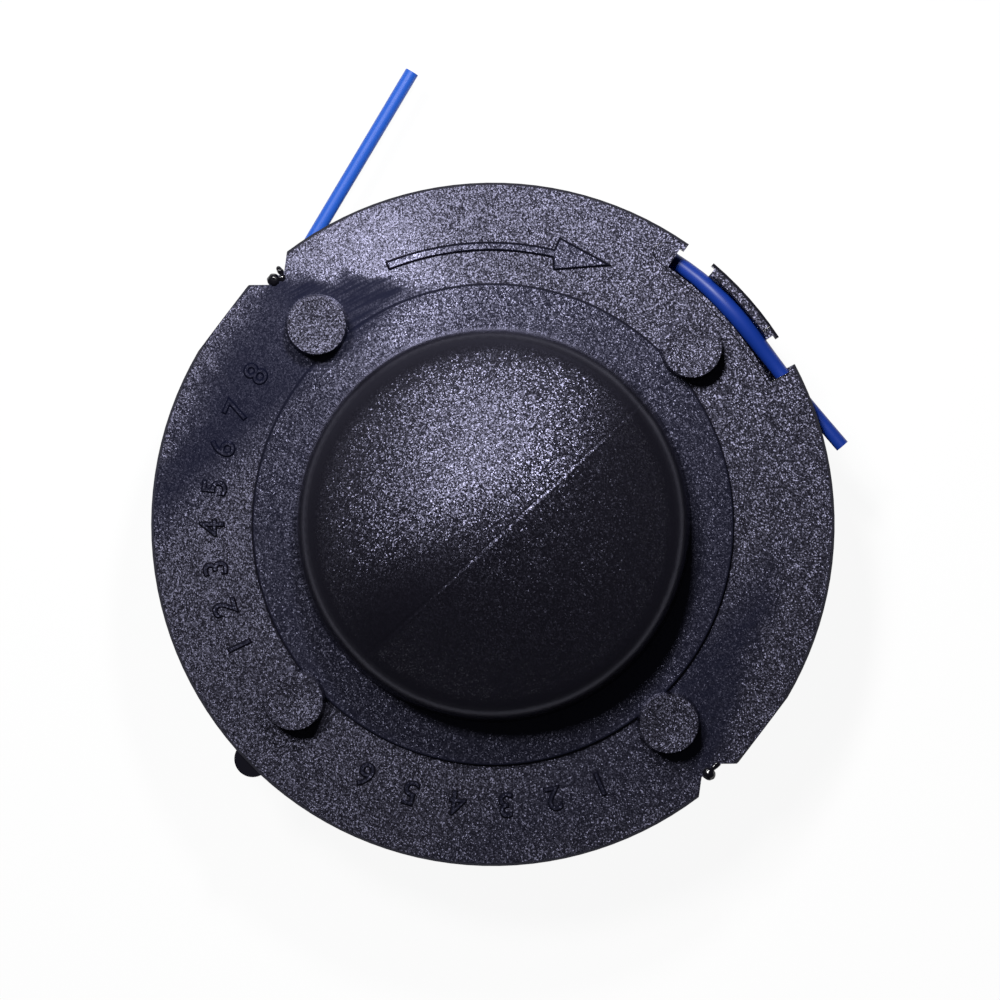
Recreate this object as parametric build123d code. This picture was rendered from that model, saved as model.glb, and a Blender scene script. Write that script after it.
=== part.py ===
from build123d import *
from math import cos, pi, radians, sin, sqrt, tan
import os

# Twin-line trimmer spool: one moulding with a domed bump knob, and two lines of cutting cord.
# Millimetres and degrees. The axis is Z, the rear face lies on z = 0 and the dome points up.
# Angles are counted from +X towards +Y, as seen looking down on the dome.

# Cutting line
line_diameter = 1.65
line_seat_gap = 0.1

# Flanges and the two line channels, from the rear face upwards
front_flange_diameter = 80.0
divider_diameter = 76.0
rear_flange_diameter = 76.0
rear_flange_thickness = 1.8
rear_channel_width = 5.4
divider_thickness = 1.2
front_channel_width = 5.4
front_flange_thickness = 2.0
rim_bevel = 0.3

# Drum, hollow from the rear
drum_diameter = 46.0
drum_wall = 2.4
pilot_depth = 3.0
pilot_step = 0.8

# Drive dogs inside the drum, in two rows with the second turned by half a pitch
dog_count = 6
dog_height = 2.4
dog_length = 3.4
dog_crest_angle = 7.0
dog_ramp_angle = 11.0
rear_dog_level = 5.0
front_dog_level = 9.8
dog_root_sink = 0.8

# Guide post for the spring and the spindle
post_diameter = 12.0
post_level = 4.5
spindle_bore_diameter = 8.1
spindle_bore_depth = 12.0

# Line anchor holes through the drum
anchor_hole_diameter = 2.2
rear_anchor_angle = 255.0
front_anchor_angle = 75.0

# Raised disc round the dome; its outer half slopes down to a flat round the dome's foot
disc_diameter = 56.2
disc_step = 0.5
disc_dish = 0.25

# Dome: a drafted wall under a crown of two barrel faces that meet in a ridge
dome_base_diameter = 46.4
dome_draft = 8.0
dome_height = 13.6
dome_wall = 2.8
ridge_angle = 42.7
ridge_offset = -1.5
crown_round = 3.0
crown_along_radius = 40.0
upper_face_radius = 40.0
upper_face_tilt = 2.0
lower_face_radius = 80.0
lower_face_tilt = 10.0

# Round studs on the front flange
stud_count = 4
stud_circle = 62.0
stud_first_angle = 41.5
stud_base_diameter = 7.5
stud_top_diameter = 6.8
stud_height = 2.6
stud_sink_mark = 0.12
stud_sink_rim = 0.5

# Line clip: a window in the front flange and a tab on an ear of the divider
clip_angle = 41.5
window_span = 28.6
window_depth = 3.6
window_lip_width = 1.0
window_lip_reach = 0.55
tab_span = 15.0
tab_thickness = 1.3
tab_lip_width = 0.4
tab_lip_reach = 0.55
ear_root = 2.0

# Gate notches, the flats beside them and the lug on the front rim
notch_angle = 131.3
notch_depth = 1.65
notch_floor_width = 2.4
notch_mouth_width = 6.2
flat_angle = 142.8
flat_depth = 0.28
lug_angle = 224.3
lug_radius = 2.15
lug_reach = 1.45
lug_drop = 0.4

# Wound line: outside size of the two windings, and the free ends' routes as radius and angle
winding_diameter = 68.5
winding_side_gap = 0.2
turn_bulge = 0.45
rear_line_level = 4.5
front_line_level = 12.7
rear_tail_route = [(35.72, 219), (35.72, 199), (35.8, 179), (36.4, 159), (54.72, 100.16)]
front_tail_route = [(35.62, 155), (35.65, 137), (35.85, 119), (36.4, 101), (37.3, 83),
                    (37.9, 65), (38.0, 47), (42.1, 12.6)]
arc_share = 0.45

# Levels along the axis
rear_channel_low = rear_flange_thickness
divider_low = rear_channel_low + rear_channel_width
front_channel_low = divider_low + divider_thickness
front_flange_low = front_channel_low + front_channel_width
flange_top = front_flange_low + front_flange_thickness
disc_top = flange_top + disc_step
dome_low = disc_top - disc_dish
crown_top = flange_top + dome_height

# Radii
rim_radius = front_flange_diameter / 2
drum_radius = drum_diameter / 2
hub_radius = drum_radius - drum_wall
dome_radius = dome_base_diameter / 2
through = 5.0
UPWARDS = (Align.CENTER, Align.CENTER, Align.MIN)


def polar(radius, angle, level=0.0):
    return Vector(radius * cos(radians(angle)), radius * sin(radians(angle)), level)


def turned(points):
    """Solid of revolution about Z from an outline of (radius, level) points."""
    outline = Polyline(*[(radius, 0, level) for radius, level in points], close=True)
    return revolve(make_face(outline), Axis.Z)


def sector(inner, outer, middle, span, low, high):
    """Prism over a piece of a ring."""
    start = middle - span / 2
    end = middle + span / 2
    outline = [
        CenterArc((0, 0, low), outer, start, span),
        Line(polar(outer, end, low), polar(inner, end, low)),
        CenterArc((0, 0, low), inner, start, span),
        Line(polar(inner, start, low), polar(outer, start, low)),
    ]
    return extrude(make_face(outline), amount=high - low, dir=(0, 0, 1))


def prism(corners, low, high):
    outline = Polyline(*[(corner.X, corner.Y, low) for corner in corners], close=True)
    return extrude(make_face(outline), amount=high - low, dir=(0, 0, 1))


def rim_angle(length):
    return 180 * length / (pi * rim_radius)


def flanged_drum():
    """Rear flange, divider, front flange and raised disc on a solid drum."""
    rear = rear_flange_diameter / 2
    divider = divider_diameter / 2
    disc = disc_diameter / 2
    return turned([
        (0, 0), (rear - rim_bevel, 0), (rear, rim_bevel), (rear, rear_channel_low),
        (drum_radius, rear_channel_low), (drum_radius, divider_low),
        (divider, divider_low), (divider, front_channel_low),
        (drum_radius, front_channel_low), (drum_radius, front_flange_low),
        (rim_radius, front_flange_low), (rim_radius, flange_top - rim_bevel),
        (rim_radius - rim_bevel, flange_top), (disc, flange_top), (disc, disc_top),
        ((disc + dome_radius) / 2, dome_low), (0, dome_low),
    ])


def crown_barrel(face_radius, tilt, side, inset):
    """Barrel whose top is one crown face; inset moves it inwards for the inside of the shell."""
    axis_y = ridge_offset - side * face_radius * sin(radians(tilt))
    axis_z = crown_top - face_radius * cos(radians(tilt))
    across = face_radius - inset
    along = crown_along_radius - inset
    reach = dome_radius + through
    end = across - along + sqrt(along ** 2 - reach ** 2)
    arc = ThreePointArc((-reach, 0, end), (0, 0, across), (reach, 0, end))
    rest = Polyline((reach, 0, end), (reach, 0, 0), (-reach, 0, 0), (-reach, 0, end))
    barrel = revolve(make_face([arc, rest]), Axis.X)
    return Rot(0, 0, ridge_angle) * Pos(0, axis_y, axis_z) * barrel


def dome_block(base_radius, low, inset):
    """Drafted wall cut off by the two crown faces."""
    rise = crown_top + through - dome_low
    top_radius = base_radius - rise * tan(radians(dome_draft))
    block = turned([
        (0, low), (base_radius, low), (base_radius, dome_low),
        (top_radius, dome_low + rise), (0, dome_low + rise),
    ])
    upper = crown_barrel(upper_face_radius, upper_face_tilt, 1, inset)
    lower = crown_barrel(lower_face_radius, lower_face_tilt, -1, inset)
    return block & upper & lower


def dome():
    """Outer form of the dome, with its ridge and the edge of its crown rounded."""
    block = dome_block(dome_radius, (front_flange_low + dome_low) / 2, 0)
    return fillet(block.edges().filter_by(GeomType.BSPLINE), crown_round)


def drive_dogs(level, first_angle):
    """One row of dogs on the drum's inner wall, each with a square driving face and a ramp."""
    root = hub_radius + dog_root_sink
    crest = hub_radius - dog_height
    dogs = []
    for index in range(dog_count):
        angle = first_angle + index * 360 / dog_count
        back = angle + dog_crest_angle
        heel = back + dog_ramp_angle
        corners = [polar(root, angle), polar(crest, angle), polar(crest, back), polar(root, heel)]
        dogs.append(prism(corners, level, level + dog_length))
    return dogs


def hub_hollow():
    """Space inside the drum and the dome, round the guide post and the drive dogs."""
    pilot = hub_radius + pilot_step
    drum = turned([
        (0, 0), (pilot, 0), (pilot, pilot_depth), (hub_radius, pilot_depth),
        (hub_radius, front_flange_low), (0, front_flange_low),
    ])
    throat = min(hub_radius, dome_radius - dome_wall)
    inside = dome_block(throat, front_flange_low, dome_wall)
    post = Pos(0, 0, post_level) * Cylinder(post_diameter / 2, crown_top, align=UPWARDS)
    rear_row = drive_dogs(rear_dog_level, 0)
    front_row = drive_dogs(front_dog_level, 180 / dog_count)
    return drum + inside - [post, *rear_row, *front_row]


def anchor_hole(angle, level):
    hole = Cylinder(anchor_hole_diameter / 2, 2 * drum_wall)
    return Rot(0, 0, angle) * Pos(drum_radius - drum_wall / 2, 0, level) * Rot(0, 90, 0) * hole


def studs():
    """Round studs with drafted sides and a shallow sink mark in the top."""
    base = stud_base_diameter / 2
    top = stud_top_diameter / 2
    root = -front_flange_thickness / 2
    mark = top - stud_sink_rim
    hollow = (mark ** 2 + stud_sink_mark ** 2) / (2 * stud_sink_mark)
    shank = turned([(0, root), (base, root), (base, 0), (top, stud_height), (0, stud_height)])
    stud = shank - Pos(0, 0, stud_height - stud_sink_mark + hollow) * Sphere(hollow)
    placed = []
    for index in range(stud_count):
        angle = stud_first_angle + index * 360 / stud_count
        placed.append(Pos(*polar(stud_circle / 2, angle, flange_top)) * stud)
    return placed


def clip_window():
    """Opening in the front rim over the line, narrower at the rim between two thin lips."""
    low = front_flange_low
    high = flange_top + through
    lip_angle = rim_angle(window_lip_reach)
    lip_radius = rim_radius - window_lip_width
    inside = sector(
        rim_radius - window_depth, lip_radius, clip_angle, window_span, low, high)
    mouth = sector(
        lip_radius - window_lip_width, rim_radius + through, clip_angle,
        window_span - 2 * lip_angle, low, high)
    return inside + mouth


def clip_tab():
    """Tab with two thin lips that holds the line in the window, on an ear of the divider."""
    tab_inner = rim_radius - tab_thickness
    ear_inner = min(divider_diameter / 2, tab_inner) - ear_root
    ear = sector(ear_inner, rim_radius, clip_angle, tab_span, divider_low, front_channel_low)
    tab = sector(tab_inner, rim_radius, clip_angle, tab_span, divider_low, flange_top)
    lips = sector(
        rim_radius - tab_lip_width, rim_radius, clip_angle,
        tab_span + 2 * rim_angle(tab_lip_reach), front_flange_low, flange_top)
    return ear + tab + lips


def gate_notch(angle):
    """Tapered recess in the front rim where the moulding was fed."""
    floor = rim_radius - notch_depth
    slope = (notch_mouth_width - notch_floor_width) / 2 / notch_depth
    mouth = notch_floor_width / 2 + slope * (notch_depth + through)
    floor_half = notch_floor_width / 2
    corners = [
        Vector(floor, -floor_half), Vector(rim_radius + through, -mouth),
        Vector(rim_radius + through, mouth), Vector(floor, floor_half),
    ]
    return Rot(0, 0, angle) * prism(corners, front_flange_low, flange_top + through)


def rim_flat(angle):
    """Chord taken off the front rim."""
    block = Box(
        through, rim_radius, front_flange_thickness + through,
        align=(Align.MIN, Align.CENTER, Align.MIN))
    return Rot(0, 0, angle) * Pos(rim_radius - flat_depth, 0, front_flange_low) * block


def rim_lug():
    height = front_flange_thickness - lug_drop
    centre = polar(rim_radius + lug_reach - lug_radius, lug_angle, front_flange_low)
    return Pos(*centre) * Cylinder(lug_radius, height, align=UPWARDS)


def spool_body():
    body = flanged_drum() + dome() - hub_hollow() + studs() + rim_lug()
    spindle_bore = Pos(0, 0, post_level) * Cylinder(
        spindle_bore_diameter / 2, spindle_bore_depth, align=UPWARDS)
    cuts = [
        clip_window(),
        rim_flat(flat_angle),
        rim_flat(flat_angle + 180),
        gate_notch(notch_angle),
        gate_notch(notch_angle + 180),
        spindle_bore,
        anchor_hole(rear_anchor_angle, rear_channel_low + rear_channel_width / 2),
        anchor_hole(front_anchor_angle, front_channel_low + front_channel_width / 2),
    ]
    return body - cuts + clip_tab()


def winding(channel_low, channel_width):
    """All turns of one line as a ring whose outside shows the last layer's turns."""
    turns = int((channel_width - 2 * winding_side_gap) / line_diameter)
    low = channel_low + (channel_width - turns * line_diameter) / 2
    inner = drum_radius + line_seat_gap
    crest = winding_diameter / 2
    valley = crest - turn_bulge
    edges = []
    for turn in range(turns):
        start = low + turn * line_diameter
        end = start + line_diameter
        edges.append(ThreePointArc(
            (valley, 0, start), (crest, 0, (start + end) / 2), (valley, 0, end)))
    edges.append(Polyline((valley, 0, end), (inner, 0, end), (inner, 0, low), (valley, 0, low)))
    return revolve(make_face(edges), Axis.Z)


def tail(name, route, level):
    """Free end of a line: straight runs joined by arcs as large as the runs allow."""
    points = [polar(radius, angle, level) for radius, angle in route]
    radii = []
    for before, corner, after in zip(points, points[1:], points[2:]):
        arriving = corner - before
        leaving = after - corner
        half_turn = radians(arriving.get_angle(leaving) / 2)
        radii.append(arc_share * min(arriving.length, leaving.length) / tan(half_turn))
    path = FilletPolyline(*points, radius=radii)
    start = Plane(origin=points[0], z_dir=points[1] - points[0])
    tube = sweep(start * Circle(line_diameter / 2), path=path)
    section = pi * line_diameter ** 2 / 4
    print(name, "arc radii", [round(radius, 1) for radius in radii], "length", round(path.length, 2))
    print(name, "volume over section times length", round(tube.volume / (section * path.length), 4))
    return tube


def main():
    os.makedirs("parts", exist_ok=True)
    nodes = {
        "spool_body": spool_body(),
        "front_line_winding": winding(front_channel_low, front_channel_width),
        "rear_line_winding": winding(rear_channel_low, rear_channel_width),
        "front_line_tail": tail("front_line_tail", front_tail_route, front_line_level),
        "rear_line_tail": tail("rear_line_tail", rear_tail_route, rear_line_level),
    }
    for name, shape in nodes.items():
        export_step(shape, f"parts/{name}.step")


main()
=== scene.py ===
import math

import bmesh
import bpy
from bpy.props import FloatProperty, FloatVectorProperty, IntProperty, PointerProperty
from mathutils import Matrix, Vector


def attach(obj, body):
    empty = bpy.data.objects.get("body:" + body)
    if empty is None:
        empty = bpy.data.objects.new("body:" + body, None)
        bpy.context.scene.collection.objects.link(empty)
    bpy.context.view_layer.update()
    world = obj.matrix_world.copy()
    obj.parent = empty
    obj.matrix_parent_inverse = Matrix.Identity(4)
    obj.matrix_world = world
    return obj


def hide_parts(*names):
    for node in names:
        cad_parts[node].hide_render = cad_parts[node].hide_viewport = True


bl_info = {
    "name": "Trimmer line spool",
    "version": (1, 0, 0),
    "blender": (4, 5, 0),
    "location": "3D View > Sidebar > Spool",
    "description": "Dresses a trimmer line spool with moulded nylon, wound line and raised marks",
    "category": "Object",
}

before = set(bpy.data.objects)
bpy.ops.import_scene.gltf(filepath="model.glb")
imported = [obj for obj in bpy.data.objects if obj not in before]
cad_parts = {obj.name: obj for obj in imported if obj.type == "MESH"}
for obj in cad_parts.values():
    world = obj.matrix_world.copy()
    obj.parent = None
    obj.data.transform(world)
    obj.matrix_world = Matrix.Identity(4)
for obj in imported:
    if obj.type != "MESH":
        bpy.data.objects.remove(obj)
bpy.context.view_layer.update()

# Metres and degrees in the frame of the CAD part: the axis is Z, the rear face lies on z = 0.
# Angles are counted from +X towards +Y, seen looking down on the dome.
MM = 0.001
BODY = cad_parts["spool_body"]

# Levels and radii of the moulding
FLANGE_TOP = 15.8 * MM
RIM_RADIUS = 40.0 * MM
DISC_RADIUS = 28.1 * MM
DRUM_RADIUS = 23.0 * MM
REAR_CHANNEL_MIDDLE = 4.5 * MM
FRONT_CHANNEL_MIDDLE = 11.1 * MM

# Where the finish of the moulding changes, each from one value to another: how far a face turns
# upwards before it shows grain, levels of the disc, the studs and the dome, radii of the dome's
# shoulder and the rim's edge, and distances from the disc's edge
GRAINED_FACE = (0.72, 0.88)
DISC_LEVEL = (FLANGE_TOP + 0.1 * MM, FLANGE_TOP + 0.2 * MM)
STUD_LEVEL = (FLANGE_TOP + 0.8 * MM, FLANGE_TOP + 1.3 * MM)
DOME_LEVEL = (FLANGE_TOP + 3.2 * MM, FLANGE_TOP + 4.0 * MM)
SHOULDER_RADII = (19.6 * MM, 21.6 * MM)
RIM_EDGE_RADII = (RIM_RADIUS - 0.4 * MM, RIM_RADIUS - 0.25 * MM)
DISC_GROOVE = (0.1 * MM, 0.2 * MM)
DISC_DULLNESS = 0.4

# Roughness of the grain on the flange and on the dome, and of bare faces and the dome's shoulder
GRAIN_ROUGHNESS = (0.4, 0.34)
BARE_ROUGHNESS = (0.2, 0.34)

# Broad patches: their width, and the weakest and strongest share of the grain
PATCH_SIZE = 6.0 * MM
PATCH_STRENGTH = (0.86, 1.08)

# Ridge across the dome. Its wear weakens along its span. Its edge is rubbed over a small width
RIDGE_ANGLE = 42.7
RIDGE_OFFSET = -1.5 * MM
RIDGE_START = 0.5 * MM
RIDGE_SPAN = (-12.0 * MM, 16.0 * MM)
RIDGE_WEAR = (1.1, 0.35)
RIDGE_SMOOTHNESS = 0.4
RIDGE_EDGE = (0.08 * MM, 0.25 * MM)
RIDGE_EDGE_LEAN = 0.28

# Flow marks. Pairs of shares and slopes are for the lower right and for the upper left gate
FAN_TURN = (-3.0 * MM, 1.0 * MM)
FAN_SLOPE = (0.6, 0.95)
FAN_FAINT_SLOPE = -0.4
FAN_FAINTNESS = (0.2, 0.68)
FAN_FIRMNESS = (0.55, 1.0)
FAN_SWIRL = 3.5 * MM
FAN_REACH = (36.9 * MM, 39.4 * MM)
FAN_SOFTNESS = (-6.0 * MM, -3.2 * MM)
FAN_INSIDE = 1.0 * MM
FAN_END = (DISC_RADIUS - 6.0 * MM, DISC_RADIUS)
STREAK_ANGLE = 28.0
STREAK_WIDTH = 0.3 * MM
STREAK_STRETCH = 12.0
STREAK_DEPTH = (0.95, 0.7)

# Warp beside the upper gate: middle, distances over which it ends, direction and grain left in it
WARP_MIDDLE = (-15.0 * MM, 28.5 * MM, FLANGE_TOP)
WARP_REACH = (3.0 * MM, 15.5 * MM)
WARP_ANGLE = 122.0
WARP_GRAIN = 0.65

# Gates on the rim, opposite each other, and the torn stubs left in their notches: radius in
# millimetres, angle, then depth, width along the rim and height in millimetres
GATE_ANGLE = 131.3
GATE_STUBS = [
    (38.4, 131.9, 1.6, 1.55, 1.5), (38.7, 130.0, 1.3, 0.75, 1.0), (37.95, 130.6, 1.0, 1.1, 1.1),
    (38.55, 310.9, 1.7, 1.5, 1.5), (38.4, 312.5, 0.75, 2.3, 0.8)]
STUB_LEVEL = FLANGE_TOP - 0.3 * MM
TEAR_SEED = 3.0

# Winding arrow on the flange: radii in millimetres and angles of its shaft, barbs and tip
ARROW_TAIL_ANGLE = 112.0
ARROW_NECK_ANGLE = 77.2
ARROW_INNER = (32.25, 32.1)
ARROW_OUTER = (33.0, 32.8)
ARROW_HEAD = [(34.27, 76.7), (33.18, 66.2), (30.74, 76.4)]
ARROW_STEPS = 24

# Plain numbers on the flange: text, radius in millimetres, first and last angle. A figure is lower
# than its font's size and rises less than the arrow
NUMBER_ROWS = [("12345678", 31.5, 205.6, 147.6), ("123456", 31.5, 292.4, 243.0)]
FIGURE_SHARE = 0.7
NUMBER_RISE_SHARE = 0.75

# Fine seams that the clip's mould insert left round the window, as radius in millimetres and angle
INSERT_SEAMS = [
    [(39.0, 57.6), (38.5, 59.2), (37.4, 59.9), (36.4, 58.9), (36.2, 56.2), (36.2, 41.0),
     (36.2, 27.0)],
    [(39.75, 57.5), (38.9, 57.4)],
    [(39.75, 62.2), (38.8, 62.0)],
    [(39.75, 35.6), (38.8, 35.5)],
    [(38.76, 48.4), (39.05, 41.5), (38.76, 34.6)],
    [(36.4, 27.1), (39.1, 27.1)],
    [(39.7, 21.4), (38.5, 21.5)]]

# Free ends of the two lines: the same points as the solids', with more where the front line bows
# up in the clip's window and on the straight run after the last bend. Radius in millimetres, angle
# and, in the window, the width as a share of the diameter and the lift in millimetres
REAR_ANCHOR_ANGLE = 255.0
REAR_TAIL_LEVEL = 4.5 * MM
REAR_TAIL = [(35.72, 219), (35.72, 199), (35.8, 179), (36.4, 159), (36.42, 139.2), (54.72, 100.16)]
FRONT_ANCHOR_ANGLE = 75.0
FRONT_TAIL_LEVEL = 12.7 * MM
FRONT_TAIL = [(35.62, 155), (35.65, 137), (35.85, 119), (36.4, 101), (37.2, 83), (37.75, 66),
              (37.85, 53, 1.12, 0.0), (37.72, 41.5, 1.36, 1.8), (37.98, 30, 1.12, 0.0),
              (39.2, 22), (42.1, 12.6)]
LINE_SEAT_GAP = 0.1 * MM

# Stage: the camera's place over the flange, the floor's half width and depth under the spool, how
# white the floor looks, how much of that reflections show, and the pool of white round the spool
CAMERA_SPOT = (0.83 * MM, 2.85 * MM)
FLOOR_REACH = 3.0
FLOOR_DEPTH = 0.02 * MM
FLOOR_WHITENESS = 0.93
FLOOR_MIRRORED = 0.12
FLOOR_POOL = (0.088, 0.2)
FLOOR_POOL_EDGE = 0.25


def linear(hex_code):
    """Linear colour of an sRGB hex code."""
    channels = [int(hex_code[start:start + 2], 16) / 255 for start in (1, 3, 5)]
    return tuple(c / 12.92 if c <= 0.04045 else ((c + 0.055) / 1.055) ** 2.4 for c in channels)


def polar(radius, angle, level=0.0):
    turn = math.radians(angle)
    return Vector((radius * math.cos(turn), radius * math.sin(turn), level))


def add(tree, kind, inputs=None, **settings):
    """Adds a node, sets its properties and gives each named input a value or a link."""
    node = tree.nodes.new(kind)
    for name, value in settings.items():
        setattr(node, name, value)
    for name, value in (inputs or {}).items():
        if isinstance(value, bpy.types.NodeSocket):
            tree.links.new(value, node.inputs[name])
        else:
            node.inputs[name].default_value = value
    return node


def calc(tree, operation, *values):
    """Result of a sum on numbers and sockets."""
    return add(tree, "ShaderNodeMath", dict(enumerate(values)), operation=operation).outputs[0]


def times(tree, first, *others):
    """Product of numbers and sockets."""
    for other in others:
        first = calc(tree, "MULTIPLY", first, other)
    return first


def rest_of(tree, share):
    """What a share leaves of the whole."""
    return calc(tree, "SUBTRACT", 1.0, share)


def fade(tree, value, start, end, low=0.0, high=1.0, smooth=False):
    """Goes from low to high while a value goes from start to end, and stays there."""
    return add(tree, "ShaderNodeMapRange", {
        "Value": value, "From Min": start, "From Max": end, "To Min": low, "To Max": high},
        interpolation_type="SMOOTHSTEP" if smooth else "LINEAR").outputs[0]


def between(tree, share, low, high):
    """Low where a share is nothing, high where it is the whole."""
    return fade(tree, share, 0.0, 1.0, low, high)


def measure(tree, operation, *vectors):
    """Length, distance or dot product of vectors."""
    inputs = dict(enumerate(vectors))
    return add(tree, "ShaderNodeVectorMath", inputs, operation=operation).outputs["Value"]


def combine(tree, operation, *vectors):
    """Vector that a sum on vectors gives."""
    inputs = dict(enumerate(vectors))
    return add(tree, "ShaderNodeVectorMath", inputs, operation=operation).outputs["Vector"]


def scaled(tree, vector, factor):
    """A vector times a number."""
    return add(
        tree, "ShaderNodeVectorMath", {0: vector, "Scale": factor},
        operation="SCALE").outputs["Vector"]


def noise(tree, spot, size, **inputs):
    """Smooth noise with lumps of a given size."""
    return add(
        tree, "ShaderNodeTexNoise", {"Vector": spot, "Scale": 1 / size, **inputs}).outputs["Fac"]


def new_material(name):
    material = bpy.data.materials.new(name)
    material.use_nodes = True
    material.node_tree.nodes.clear()
    return material


def place(name, mesh, material):
    """Makes a piece of the spool from a mesh that already lies where it belongs."""
    mesh.materials.clear()
    mesh.materials.append(material)
    piece = bpy.data.objects.new(name, mesh)
    bpy.context.scene.collection.objects.link(piece)
    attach(piece, "root")
    return piece


class SpoolFinish(bpy.types.PropertyGroup):
    """Colours and surface of the moulding and the line."""
    nylon_colour: FloatVectorProperty(
        name="Nylon colour", description="Colour of the black moulding", subtype="COLOR", size=3,
        min=0, max=1, default=linear("#0F0E14"))
    flow_colour: FloatVectorProperty(
        name="Flow colour", description="Colour of the nylon in the flow marks and on the disc",
        subtype="COLOR", size=3, min=0, max=1, default=linear("#0D1023"))
    sheen_colour: FloatVectorProperty(
        name="Reflection tint", description="Tint of the moulding's reflections", subtype="COLOR",
        size=3, min=0, max=1, default=linear("#DAD9FF"))
    grain_size: FloatProperty(
        name="Grain size", description="Width of one grain of the spark-eroded surface",
        default=0.12 * MM, unit="LENGTH", precision=6)
    grain_lean: FloatProperty(
        name="Grain lean", description="How far the facets of the grain lean out of the surface",
        default=0.54, subtype="FACTOR", min=0, max=2)
    dome_grain_size: FloatProperty(
        name="Dome grain size", description="Width of one grain on the dome",
        default=0.128 * MM, unit="LENGTH", precision=6)
    dome_grain_lean: FloatProperty(
        name="Dome grain lean", description="How far the facets of the grain lean on the dome",
        default=0.62, subtype="FACTOR", min=0, max=2)
    ridge_width: FloatProperty(
        name="Ridge shoulder", description="Width of the worn shoulder above the ridge",
        default=12.0 * MM, unit="LENGTH", precision=6)
    ridge_lean: FloatProperty(
        name="Ridge lean", description="How far the worn shoulder leans over at the ridge",
        default=0.1, subtype="FACTOR", min=0, max=1)
    warp_lean: FloatProperty(
        name="Warp lean", description="How far the flange is warped beside the gate",
        default=0.15, subtype="FACTOR", min=0, max=1)
    rear_line_colour: FloatVectorProperty(
        name="Rear line colour", description="Colour of the rear cutting line", subtype="COLOR",
        size=3, min=0, max=1, default=linear("#1F51AF"))
    # The front line has the same dye as the rear one. Its darker blue is painted shade for the
    # weaker light that falls on it
    front_line_shaded_colour: FloatVectorProperty(
        name="Front line colour", description="Colour of the front cutting line", subtype="COLOR",
        size=3, min=0, max=1, default=linear("#102E80"))


class LineSizes(bpy.types.PropertyGroup):
    """Gauge and winding of the cutting line."""
    diameter: FloatProperty(
        name="Line diameter", description="Gauge of the cutting line", default=1.65 * MM,
        unit="LENGTH", precision=6)
    layers: IntProperty(name="Layers", description="Layers of turns on the drum", default=7)
    turns: IntProperty(name="Turns", description="Turns side by side in one layer", default=3)
    outer_radius: FloatProperty(
        name="Outer layer", description="Radius of the last layer's centre line",
        default=33.43 * MM, unit="LENGTH", precision=6)
    points: IntProperty(name="Points", description="Control points on each turn", default=16)
    climb: FloatProperty(
        name="Climb", description="Share of a turn in which the line steps to the next one",
        default=0.2, subtype="FACTOR", min=0, max=1)


class MarkSizes(bpy.types.PropertyGroup):
    """Raised marks on the flange and what the mould left behind."""
    rise: FloatProperty(
        name="Rise", description="Height of the raised marks and width of their sloped edges",
        default=0.28 * MM, unit="LENGTH", precision=6)
    number_height: FloatProperty(
        name="Number height", description="Height of the plain numbers", default=2.8 * MM,
        unit="LENGTH", precision=6)
    seam_width: FloatProperty(
        name="Seam width", description="Width of the fine seams of the mould insert",
        default=0.12 * MM, unit="LENGTH", precision=6)
    tear_size: FloatProperty(
        name="Tear size", description="Width of the lumps on the torn stubs", default=0.5 * MM,
        unit="LENGTH", precision=6)
    tear_depth: FloatProperty(
        name="Tear depth", description="Depth of the lumps on the torn stubs", default=0.3 * MM,
        unit="LENGTH", precision=6)


class StageSizes(bpy.types.PropertyGroup):
    """Camera, lamps and room."""
    camera_height: FloatProperty(
        name="Camera height", description="Height of the camera over the flange", default=0.6,
        unit="LENGTH")
    frame_width: FloatProperty(
        name="Frame width", description="Width of the picture at the flange", default=116.97 * MM,
        unit="LENGTH")
    near_distance: FloatProperty(
        name="Near lamp distance", description="Distance of the small lamp from the flange",
        default=0.13, unit="LENGTH")
    near_angle: FloatProperty(
        name="Near lamp angle", description="Side of the spool that the small lamp stands on",
        default=90.0)
    near_tilt: FloatProperty(
        name="Near lamp tilt", description="Angle between the small lamp and the spool's axis",
        default=38.0)
    near_size: FloatProperty(
        name="Near lamp size", description="Width of the small lamp", default=0.02, unit="LENGTH")
    near_power: FloatProperty(
        name="Near lamp power", description="Power of the small lamp", default=0.16,
        unit="POWER")
    far_distance: FloatProperty(
        name="Far lamp distance", description="Distance of the large lamp from the flange",
        default=0.9, unit="LENGTH")
    far_angle: FloatProperty(
        name="Far lamp angle", description="Side of the spool that the large lamp stands on",
        default=129.0)
    far_tilt: FloatProperty(
        name="Far lamp tilt", description="Angle between the large lamp and the spool's axis",
        default=33.5)
    far_size: FloatProperty(
        name="Far lamp size", description="Width of the large lamp", default=0.2, unit="LENGTH")
    far_power: FloatProperty(
        name="Far lamp power", description="Power of the large lamp", default=5.7, unit="POWER")
    room_light: FloatProperty(
        name="Room light", description="Brightness of the dim studio around", default=0.03)


class SpoolSettings(bpy.types.PropertyGroup):
    """All settings of the spool."""
    finish: PointerProperty(type=SpoolFinish)
    line: PointerProperty(type=LineSizes)
    marks: PointerProperty(type=MarkSizes)
    stage: PointerProperty(type=StageSizes)


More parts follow.
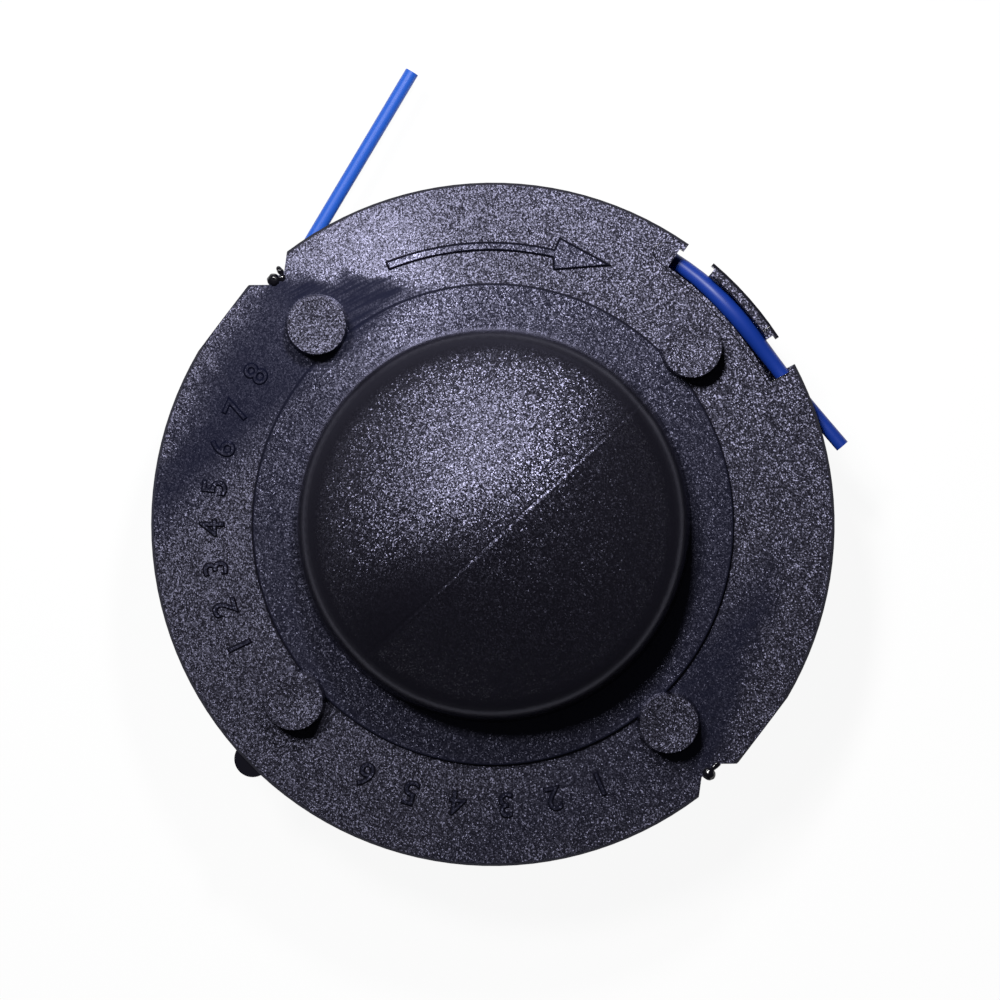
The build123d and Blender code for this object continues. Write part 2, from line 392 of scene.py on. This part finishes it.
def ridge_wear(tree, spot, dome, finish):
    """Worn shoulder on the upper side of the ridge, smoother and leaning over towards the ridge,
    whose own edge is rubbed bright: its smoothness, and how it shifts the surface's normal."""
    along = measure(tree, "DOT_PRODUCT", spot, polar(1.0, RIDGE_ANGLE))
    over = measure(tree, "DOT_PRODUCT", spot, polar(1.0, RIDGE_ANGLE + 90))
    beside = fade(
        tree, over, RIDGE_OFFSET, RIDGE_OFFSET + finish.ridge_width, 1.0, 0.0, smooth=True)
    above = fade(tree, over, RIDGE_OFFSET - RIDGE_START, RIDGE_OFFSET)
    fading = fade(tree, along, *RIDGE_SPAN, *RIDGE_WEAR)
    worn = times(tree, beside, fading, above, dome)
    off_edge = calc(tree, "ABSOLUTE", calc(tree, "SUBTRACT", over, RIDGE_OFFSET))
    rubbed = times(tree, fade(tree, off_edge, *RIDGE_EDGE, RIDGE_EDGE_LEAN, 0.0), dome)
    lean = calc(tree, "SUBTRACT", times(tree, worn, finish.ridge_lean), rubbed)
    shift = scaled(tree, polar(1.0, RIDGE_ANGLE - 90), lean)
    return times(tree, worn, RIDGE_SMOOTHNESS), shift


def flow_fans(tree, spot, low):
    """Fans of dull flow marks on the flange that open inwards from the two gates. On the side to
    which the flow turned they are smoother, on the other they fade away."""
    gate_line = measure(tree, "DOT_PRODUCT", spot, polar(1.0, GATE_ANGLE))
    side = measure(tree, "DOT_PRODUCT", spot, polar(1.0, GATE_ANGLE - 90))
    along = calc(tree, "ABSOLUTE", gate_line)
    turned = fade(tree, side, *FAN_TURN, smooth=True)

    def at_gate(pair):
        return fade(tree, gate_line, -1.0 * MM, 1.0 * MM, *pair)

    smooth_side = times(tree, side, at_gate(FAN_SLOPE))
    faint_side = times(tree, side, FAN_FAINT_SLOPE)
    across = calc(tree, "MAXIMUM", smooth_side, faint_side)
    swirl = noise(tree, spot, FAN_SWIRL, Detail=2.0, Distortion=0.8)
    reach = fade(tree, swirl, 0.25, 0.75, *FAN_REACH)
    room = calc(tree, "SUBTRACT", calc(tree, "SUBTRACT", reach, along), across)
    softness = between(tree, turned, *FAN_SOFTNESS)
    fan = fade(tree, room, softness, FAN_INSIDE, smooth=True)
    outside = fade(tree, along, *FAN_END)

    strokes = add(tree, "ShaderNodeMapping", {
        "Vector": spot, "Rotation": (0.0, 0.0, math.radians(STREAK_ANGLE)),
        "Scale": (STREAK_STRETCH, 1.0, 1.0)}, vector_type="TEXTURE")
    streaks = noise(tree, strokes.outputs[0], STREAK_WIDTH, Detail=1.0)
    stroke = fade(tree, streaks, 0.35, 0.75, *STREAK_DEPTH)
    firm_stroke = times(tree, stroke, at_gate(FAN_FIRMNESS))
    depth = between(tree, turned, at_gate(FAN_FAINTNESS), firm_stroke)
    return times(tree, fan, times(tree, outside, low), depth)


def moulded_nylon(finish):
    """Glass-filled nylon from a spark-eroded mould: black, with a fine sparkling grain on the
    faces that the mould opens from, smooth dark walls where it was drawn off, a worn stripe along
    the ridge and dull flow marks that fan out from the gates."""
    material = new_material("moulded_nylon_spark_eroded")
    tree = material.node_tree
    coords = add(tree, "ShaderNodeTexCoord")
    spot = coords.outputs["Object"]
    level = add(tree, "ShaderNodeSeparateXYZ", {"Vector": spot}).outputs["Z"]
    normal = add(tree, "ShaderNodeSeparateXYZ", {"Vector": coords.outputs["Normal"]})
    upright = calc(tree, "ABSOLUTE", normal.outputs["Z"])
    flat = fade(tree, upright, *GRAINED_FACE, smooth=True)

    # Levels: the flange, the smoother disc on it, the tops of the studs and the dome
    raised = fade(tree, level, *STUD_LEVEL)
    disc = calc(tree, "SUBTRACT", fade(tree, level, *DISC_LEVEL), raised)
    dome = fade(tree, level, *DOME_LEVEL)
    low = rest_of(tree, raised)

    # The grain ends at the dome's shoulder, round the disc's edge and at the outer edge of the rim
    radius = measure(tree, "LENGTH", combine(tree, "MULTIPLY", spot, (1.0, 1.0, 0.0)))
    shoulder = times(tree, fade(tree, radius, *SHOULDER_RADII, smooth=True), dome)
    rim = fade(tree, radius, *RIM_EDGE_RADII)
    off_disc_edge = calc(tree, "ABSOLUTE", calc(tree, "SUBTRACT", radius, DISC_RADIUS))
    groove = times(tree, fade(tree, off_disc_edge, *DISC_GROOVE, 1.0, 0.0), low)
    bare = calc(tree, "MAXIMUM", shoulder, calc(tree, "MAXIMUM", rim, groove))
    worn, ridge_shift = ridge_wear(tree, spot, dome, finish)
    unworn = rest_of(tree, calc(tree, "MAXIMUM", bare, worn))

    # The flow marks and the disc are dull
    dulled = flow_fans(tree, spot, low)
    dull = calc(tree, "MAXIMUM", dulled, times(tree, disc, DISC_DULLNESS))

    # Slight warp of the flange and the disc beside the upper gate, outside the flow marks
    from_warp = measure(tree, "DISTANCE", spot, WARP_MIDDLE)
    warped = fade(tree, from_warp, *WARP_REACH, 1.0, 0.0, smooth=True)
    low_unworn = times(tree, unworn, low)
    warp = times(tree, warped, times(tree, rest_of(tree, dulled), low_unworn))
    warp_shift = scaled(tree, polar(1.0, WARP_ANGLE), times(tree, warp, finish.warp_lean))
    even = between(tree, warp, 1.0, WARP_GRAIN)

    # The grain is a field of tiny facets, each leaning its own way, a little stronger or weaker in
    # broad patches
    patches = fade(tree, noise(tree, spot, PATCH_SIZE, Detail=3.0), 0.3, 0.7, *PATCH_STRENGTH)
    share = times(tree, unworn, even, rest_of(tree, dull), flat)
    full_lean = between(tree, dome, finish.grain_lean, finish.dome_grain_lean)
    fineness = between(tree, dome, 1 / finish.grain_size, 1 / finish.dome_grain_size)
    facets = add(tree, "ShaderNodeTexVoronoi", {"Vector": spot, "Scale": fineness})
    facing = combine(tree, "SUBTRACT", facets.outputs["Color"], (0.5, 0.5, 0.5))
    leaning = scaled(tree, facing, times(tree, share, patches, full_lean))

    # The disc is flat. The ridge, the warp and the grain lean its and the other faces' normals
    surface = add(tree, "ShaderNodeNewGeometry")
    levelled = add(tree, "ShaderNodeMix", {
        0: times(tree, disc, flat), 4: surface.outputs["Normal"], 5: (0.0, 0.0, 1.0)},
        data_type="VECTOR")
    shifted = combine(tree, "ADD", ridge_shift, warp_shift)
    bent = combine(tree, "ADD", levelled.outputs[1], shifted)
    faceted = combine(tree, "NORMALIZE", combine(tree, "ADD", bent, leaning))

    rough = between(
        tree, share, between(tree, shoulder, *BARE_ROUGHNESS),
        between(tree, dome, *GRAIN_ROUGHNESS))
    colour = add(tree, "ShaderNodeMix", {
        0: dull, 6: (*finish.nylon_colour, 1.0), 7: (*finish.flow_colour, 1.0)}, data_type="RGBA")
    shader = add(tree, "ShaderNodeBsdfPrincipled", {
        "Base Color": colour.outputs[2], "Roughness": rough, "IOR": 1.53,
        "Specular IOR Level": 0.7, "Specular Tint": (*finish.sheen_colour, 1.0),
        "Normal": faceted})
    add(tree, "ShaderNodeOutputMaterial", {"Surface": shader.outputs[0]})
    return material


def torn_nylon(finish):
    """The same nylon where it was torn off or squeezed into a seam: smooth, wet-looking skin."""
    material = new_material("torn_nylon_glossy")
    tree = material.node_tree
    coords = add(tree, "ShaderNodeTexCoord")
    skin = noise(tree, coords.outputs["Object"], 0.4 * MM, Detail=3.0)
    bump = add(tree, "ShaderNodeBump", {
        "Height": skin, "Strength": 0.5, "Distance": 0.05 * MM})
    shader = add(tree, "ShaderNodeBsdfPrincipled", {
        "Base Color": (*finish.nylon_colour, 1.0), "Roughness": between(tree, skin, 0.08, 0.22),
        "IOR": 1.53, "Normal": bump.outputs[0]})
    add(tree, "ShaderNodeOutputMaterial", {"Surface": shader.outputs[0]})
    return material


def drawn_nylon_line(name, line_colour_and_shade):
    """Drawn nylon line: dyed blue right through, smooth and slightly waxy. The front line's darker
    blue is painted shade.
    """
    material = new_material(name + "_drawn_nylon_blue")
    tree = material.node_tree
    coords = add(tree, "ShaderNodeTexCoord")
    mottle = noise(tree, coords.outputs["Object"], 1.2 * MM, Detail=3.0)
    shader = add(tree, "ShaderNodeBsdfPrincipled", {
        "Base Color": (*line_colour_and_shade, 1.0), "Roughness": between(tree, mottle, 0.38, 0.48),
        "IOR": 1.46, "Specular IOR Level": 0.32})
    add(tree, "ShaderNodeOutputMaterial", {"Surface": shader.outputs[0]})
    return material


def winding_points(sizes, middle, start_angle, sweep):
    """Control points of a line's turns, laid up and down the channel in layers, clockwise."""
    step = 360 / sizes.points
    outwards = 1 / math.cos(math.radians(step / 2))
    first_radius = DRUM_RADIUS + sizes.diameter / 2 + LINE_SEAT_GAP
    pitch = (sizes.outer_radius - first_radius) / (sizes.layers - 1)

    def turn_place(turn):
        layer, across = divmod(turn, sizes.turns)
        if layer % 2:
            across = sizes.turns - 1 - across
        level = middle + (across - (sizes.turns - 1) / 2) * sizes.diameter
        return Vector((first_radius + layer * pitch, level))

    points = []
    for index in range(int(sweep / step)):
        angle = index * step
        turn, rest = divmod(angle / 360, 1)
        share = max(0.0, (rest - 1 + sizes.climb) / sizes.climb)
        share = share * share * (3 - 2 * share)
        radius, level = turn_place(int(turn)).lerp(turn_place(int(turn) + 1), share)
        points.append(polar(radius * outwards, start_angle - angle, level))
    return points


def line_curve(name, points, widths, sizes):
    """Curve of one open spline through a line's control points, with the line's round section."""
    curve = bpy.data.curves.new(name, "CURVE")
    curve.dimensions = "3D"
    curve.bevel_depth = sizes.diameter / 2
    curve.bevel_resolution = 4
    curve.use_fill_caps = True
    curve.resolution_u = 4
    spline = curve.splines.new("NURBS")
    spline.points.add(len(points) - 1)
    for target, point, width in zip(spline.points, points, widths):
        target.co = (*point, 1.0)
        target.radius = width
    spline.order_u = 3
    spline.use_endpoint_u = True
    return curve


def curve_length(curve):
    """Length of a curve's centre line."""
    bare = curve.copy()
    bare.bevel_depth = 0
    holder = bpy.data.objects.new("length_gauge", bare)
    mesh = bpy.data.meshes.new_from_object(holder)
    places = [vertex.co for vertex in mesh.vertices]
    length = sum((b - a).length for a, b in zip(places, places[1:]))
    bpy.data.objects.remove(holder)
    bpy.data.meshes.remove(mesh)
    bpy.data.curves.remove(bare)
    return length


class SPOOL_OT_lines(bpy.types.Operator):
    """Winds the two cutting lines and lays their free ends"""
    bl_idname = "spool.lines"
    bl_label = "Cutting lines"

    def execute(self, context):
        settings = context.scene.spool
        sizes = settings.line
        lines = [
            ("rear_line", settings.finish.rear_line_colour, REAR_CHANNEL_MIDDLE,
             REAR_ANCHOR_ANGLE, REAR_TAIL, REAR_TAIL_LEVEL),
            # The front line's darker colour is painted shade
            ("front_line", settings.finish.front_line_shaded_colour, FRONT_CHANNEL_MIDDLE,
             FRONT_ANCHOR_ANGLE, FRONT_TAIL, FRONT_TAIL_LEVEL),
        ]
        for name, line_colour_and_shade, middle, anchor, tail, level in lines:
            whole = sizes.layers * sizes.turns * 360
            lead = (anchor - tail[0][1]) % 360
            sweep = whole + lead - (360 if lead > 180 else 0) - 360 / sizes.points
            points = winding_points(sizes, middle, anchor, sweep)
            widths = [1.0] * len(points)
            for radius, angle, *window in tail:
                width, lift = window or (1.0, 0.0)
                widths.append(width)
                points.append(polar(radius * MM, angle, level + lift * MM))
            curve = line_curve(name, points, widths, sizes)
            curve.materials.append(drawn_nylon_line(name, line_colour_and_shade))
            line = bpy.data.objects.new(name, curve)
            context.scene.collection.objects.link(line)
            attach(line, "root")
            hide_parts(name + "_winding", name + "_tail")
            curve_length(curve)
        return {"FINISHED"}


class SPOOL_OT_body(bpy.types.Operator):
    """Gives the moulded body its grained black nylon"""
    bl_idname = "spool.body"
    bl_label = "Moulded body"

    def execute(self, context):
        BODY.material_slots[0].material = moulded_nylon(context.scene.spool.finish)
        return {"FINISHED"}


def plain_mesh(data):
    """Mesh of a text or a curve."""
    holder = bpy.data.objects.new("shape_holder", data)
    mesh = bpy.data.meshes.new_from_object(holder)
    bpy.data.objects.remove(holder)
    return mesh


def raise_edges(shape, rise):
    """Gives a flat shape a raised top whose edges slope down to the flange."""
    shape.extrude = rise / 2
    shape.bevel_depth = rise
    shape.bevel_resolution = 0
    shape.offset = -rise / 4


def joined(meshes):
    """One mesh of flat faces from several, which are used up."""
    form = bmesh.new()
    for mesh in meshes:
        form.from_mesh(mesh)
        bpy.data.meshes.remove(mesh)
    bmesh.ops.remove_doubles(form, verts=form.verts, dist=0.001 * MM)
    bmesh.ops.recalc_face_normals(form, faces=form.faces)
    for face in form.faces:
        face.smooth = False
    whole = bpy.data.meshes.new("whole")
    form.to_mesh(whole)
    form.free()
    return whole


def arrow_outline():
    """Corners of the winding arrow: along its outer side, round its head and back inside."""
    def side(radii):
        corners = []
        for step in range(ARROW_STEPS + 1):
            share = step / ARROW_STEPS
            radius = radii[0] + (radii[1] - radii[0]) * share
            angle = ARROW_TAIL_ANGLE + (ARROW_NECK_ANGLE - ARROW_TAIL_ANGLE) * share
            corners.append((radius, angle))
        return corners
    corners = side(ARROW_OUTER) + ARROW_HEAD + side(ARROW_INNER)[::-1]
    return [polar(radius * MM, angle) for radius, angle in corners]


class SPOOL_OT_marks(bpy.types.Operator):
    """Raises the winding arrow and the plain numbers on the flange"""
    bl_idname = "spool.marks"
    bl_label = "Raised marks"

    def execute(self, context):
        sizes = context.scene.spool.marks
        material = BODY.material_slots[0].material

        curve = bpy.data.curves.new("arrow", "CURVE")
        curve.dimensions = "2D"
        curve.fill_mode = "BOTH"
        raise_edges(curve, sizes.rise)
        outline = arrow_outline()
        spline = curve.splines.new("POLY")
        spline.points.add(len(outline) - 1)
        for target, corner in zip(spline.points, outline):
            target.co = (*corner, 1.0)
        spline.use_cyclic_u = True
        arrow = plain_mesh(curve)
        arrow.transform(Matrix.Translation((0, 0, FLANGE_TOP - curve.extrude)))
        place("winding_arrow", joined([arrow]), material)

        figures = []
        for text, radius, first, last in NUMBER_ROWS:
            for index, figure in enumerate(text):
                face = bpy.data.curves.new("figure", "FONT")
                face.body = figure
                face.size = sizes.number_height / FIGURE_SHARE
                raise_edges(face, NUMBER_RISE_SHARE * sizes.rise)
                mesh = plain_mesh(face)
                across = [vertex.co.x for vertex in mesh.vertices]
                middle = (min(across) + max(across)) / 2
                angle = first + (last - first) * index / (len(text) - 1)
                turn = Matrix.Rotation(math.radians(angle - 90), 4, "Z")
                low = FLANGE_TOP - face.extrude
                mesh.transform(turn @ Matrix.Translation((-middle, radius * MM, low)))
                figures.append(mesh)
        place("flange_numbers", joined(figures), material)
        return {"FINISHED"}


def bead_tree(material):
    """Node tree that sets a lumpy bead on each point, as large as the point says."""
    tree = bpy.data.node_groups.new("torn_beads", "GeometryNodeTree")
    names = {}
    for name, kind in (
            ("Geometry", "NodeSocketGeometry"), ("Tear size", "NodeSocketFloat"),
            ("Tear depth", "NodeSocketFloat"), ("Seed", "NodeSocketFloat")):
        names[name] = tree.interface.new_socket(name, in_out="INPUT", socket_type=kind).identifier
    tree.interface.new_socket("Geometry", in_out="OUTPUT", socket_type="NodeSocketGeometry")
    given = add(tree, "NodeGroupInput")
    spot = add(tree, "GeometryNodeInputPosition")
    parts = add(tree, "ShaderNodeSeparateXYZ", {0: spot.outputs[0]})
    angle = calc(tree, "ARCTAN2", parts.outputs["Y"], parts.outputs["X"])
    turn = add(tree, "ShaderNodeCombineXYZ", {"Z": angle})
    size = add(
        tree, "GeometryNodeInputNamedAttribute", {"Name": "bead_size"}, data_type="FLOAT_VECTOR")
    ball = add(tree, "GeometryNodeMeshIcoSphere", {"Radius": 0.5, "Subdivisions": 4})
    beads = add(tree, "GeometryNodeInstanceOnPoints", {
        "Points": given.outputs["Geometry"], "Instance": ball.outputs["Mesh"],
        "Rotation": turn.outputs[0], "Scale": size.outputs["Attribute"]})
    real = add(tree, "GeometryNodeRealizeInstances", {"Geometry": beads.outputs[0]})
    fineness = calc(tree, "DIVIDE", 1.0, given.outputs["Tear size"])
    lumps = add(tree, "ShaderNodeTexNoise", {
        "W": given.outputs["Seed"], "Scale": fineness, "Detail": 2.0}, noise_dimensions="4D")
    lift = calc(tree, "SUBTRACT", lumps.outputs["Fac"], 0.5)
    height = times(tree, lift, given.outputs["Tear depth"])
    outwards = add(tree, "GeometryNodeInputNormal")
    torn = add(tree, "GeometryNodeSetPosition", {
        "Geometry": real.outputs[0], "Offset": scaled(tree, outwards.outputs[0], height)})
    smooth = add(tree, "GeometryNodeSetShadeSmooth", {"Geometry": torn.outputs[0]})
    coated = add(tree, "GeometryNodeSetMaterial", {
        "Geometry": smooth.outputs[0], "Material": material})
    add(tree, "NodeGroupOutput", {"Geometry": coated.outputs[0]})
    return tree, names


class SPOOL_OT_traces(bpy.types.Operator):
    """Adds the torn gate stubs and the fine seams of the clip's mould insert"""
    bl_idname = "spool.traces"
    bl_label = "Gate stubs and seams"

    def execute(self, context):
        settings = context.scene.spool
        sizes = settings.marks
        material = torn_nylon(settings.finish)

        points = bpy.data.meshes.new("bead_points")
        places = [polar(radius * MM, angle, STUB_LEVEL) for radius, angle, *size in GATE_STUBS]
        points.from_pydata(places, [], [])
        bead_size = points.attributes.new("bead_size", "FLOAT_VECTOR", "POINT")
        for target, (radius, angle, *size) in zip(bead_size.data, GATE_STUBS):
            target.vector = Vector(size) * MM
        holder = bpy.data.objects.new("bead_holder", points)
        context.scene.collection.objects.link(holder)
        modifier = holder.modifiers.new("beads", "NODES")
        modifier.node_group, names = bead_tree(material)
        modifier[names["Tear size"]] = sizes.tear_size
        modifier[names["Tear depth"]] = sizes.tear_depth
        modifier[names["Seed"]] = TEAR_SEED
        made = holder.evaluated_get(context.evaluated_depsgraph_get())
        beads = bpy.data.meshes.new_from_object(made)
        bpy.data.objects.remove(holder)
        place("gate_stubs", beads, material)

        curve = bpy.data.curves.new("seams", "CURVE")
        curve.dimensions = "3D"
        curve.bevel_depth = sizes.seam_width / 2
        curve.bevel_resolution = 2
        curve.use_fill_caps = True
        for seam in INSERT_SEAMS:
            spline = curve.splines.new("NURBS")
            spline.points.add(len(seam) - 1)
            for target, (radius, angle) in zip(spline.points, seam):
                target.co = (*polar(radius * MM, angle, FLANGE_TOP), 1.0)
            spline.order_u = min(3, len(seam))
            spline.use_endpoint_u = True
        place("insert_seams", plain_mesh(curve), material)
        return {"FINISHED"}


def studio_floor():
    """Pale matt floor that the camera sees as white, with the spool's faint shadow on it."""
    material = new_material("studio_floor_matt_white")
    tree = material.node_tree
    path = add(tree, "ShaderNodeLightPath")
    camera = path.outputs["Is Camera Ray"]
    mirrored = calc(
        tree, "MAXIMUM", path.outputs["Is Glossy Ray"], path.outputs["Is Transmission Ray"])
    seen = calc(tree, "MAXIMUM", camera, times(tree, mirrored, FLOOR_MIRRORED))
    share = times(tree, seen, FLOOR_WHITENESS)
    coords = add(tree, "ShaderNodeTexCoord")
    away = measure(tree, "LENGTH", coords.outputs["Object"])
    pool = fade(tree, away, *FLOOR_POOL, 1.0, FLOOR_POOL_EDGE, smooth=True)
    matt = add(tree, "ShaderNodeBsdfDiffuse", {"Color": (*linear("#F4F4F4"), 1.0)})
    white = add(tree, "ShaderNodeEmission", {
        "Color": (1.0, 1.0, 1.0, 1.0), "Strength": calc(tree, "MAXIMUM", pool, camera)})
    mixed = add(tree, "ShaderNodeMixShader", {
        0: share, 1: matt.outputs[0], 2: white.outputs[0]})
    add(tree, "ShaderNodeOutputMaterial", {"Surface": mixed.outputs[0]})
    return material


class SPOOL_OT_stage(bpy.types.Operator):
    """Sets up the camera over the dome, the two lamps and the pale floor"""
    bl_idname = "spool.stage"
    bl_label = "Stage"

    def execute(self, context):
        scene = context.scene
        sizes = scene.spool.stage
        scene.view_settings.view_transform = "Standard"

        camera = bpy.data.cameras.new("camera")
        camera.lens = camera.sensor_width * sizes.camera_height / sizes.frame_width
        camera.clip_end = 20
        eye = bpy.data.objects.new("camera", camera)
        eye.location = (*CAMERA_SPOT, FLANGE_TOP + sizes.camera_height)
        scene.collection.objects.link(eye)
        scene.camera = eye

        lamps = [
            ("near_lamp", sizes.near_angle, sizes.near_tilt, sizes.near_distance,
             sizes.near_size, sizes.near_power),
            ("far_lamp", sizes.far_angle, sizes.far_tilt, sizes.far_distance,
             sizes.far_size, sizes.far_power),
        ]
        for name, angle, tilt, distance, size, power in lamps:
            lamp = bpy.data.lights.new(name, "AREA")
            lamp.shape = "DISK"
            lamp.size = size
            lamp.energy = power
            holder = bpy.data.objects.new(name, lamp)
            lean = math.radians(tilt)
            reach = polar(math.sin(lean), angle, math.cos(lean)) * distance
            holder.location = Vector((0, 0, FLANGE_TOP)) + reach
            holder.rotation_euler = reach.to_track_quat("Z", "Y").to_euler()
            holder.visible_camera = False
            scene.collection.objects.link(holder)

        world = bpy.data.worlds.new("dim_studio")
        world.use_nodes = True
        world.node_tree.nodes.clear()
        room = add(world.node_tree, "ShaderNodeBackground", {
            "Color": (*linear("#F0F2FF"), 1.0), "Strength": sizes.room_light})
        add(world.node_tree, "ShaderNodeOutputWorld", {"Surface": room.outputs[0]})
        scene.world = world

        floor = bpy.data.meshes.new("floor")
        form = bmesh.new()
        bmesh.ops.create_grid(form, x_segments=1, y_segments=1, size=FLOOR_REACH)
        form.to_mesh(floor)
        form.free()
        floor.materials.append(studio_floor())
        ground = bpy.data.objects.new("floor", floor)
        ground.location.z = -FLOOR_DEPTH
        scene.collection.objects.link(ground)
        return {"FINISHED"}


OPERATORS = (SPOOL_OT_stage, SPOOL_OT_lines, SPOOL_OT_body, SPOOL_OT_marks, SPOOL_OT_traces)


class SPOOL_PT_panel(bpy.types.Panel):
    """Lists the spool's pieces in the order in which they are made"""
    bl_idname = "SPOOL_PT_panel"
    bl_label = "Trimmer line spool"
    bl_space_type = "VIEW_3D"
    bl_region_type = "UI"
    bl_category = "Spool"

    def draw(self, context):
        for operator in OPERATORS:
            self.layout.operator(operator.bl_idname)


CLASSES = (
    SpoolFinish, LineSizes, MarkSizes, StageSizes, SpoolSettings, *OPERATORS, SPOOL_PT_panel)


def register():
    for cls in CLASSES:
        bpy.utils.register_class(cls)
    bpy.types.Scene.spool = PointerProperty(type=SpoolSettings)


def unregister():
    del bpy.types.Scene.spool
    for cls in reversed(CLASSES):
        bpy.utils.unregister_class(cls)


def main():
    register()
    bpy.ops.spool.stage()
    bpy.ops.spool.lines()
    bpy.ops.spool.body()
    bpy.ops.spool.marks()
    bpy.ops.spool.traces()


if __name__ == "__main__":
    main()
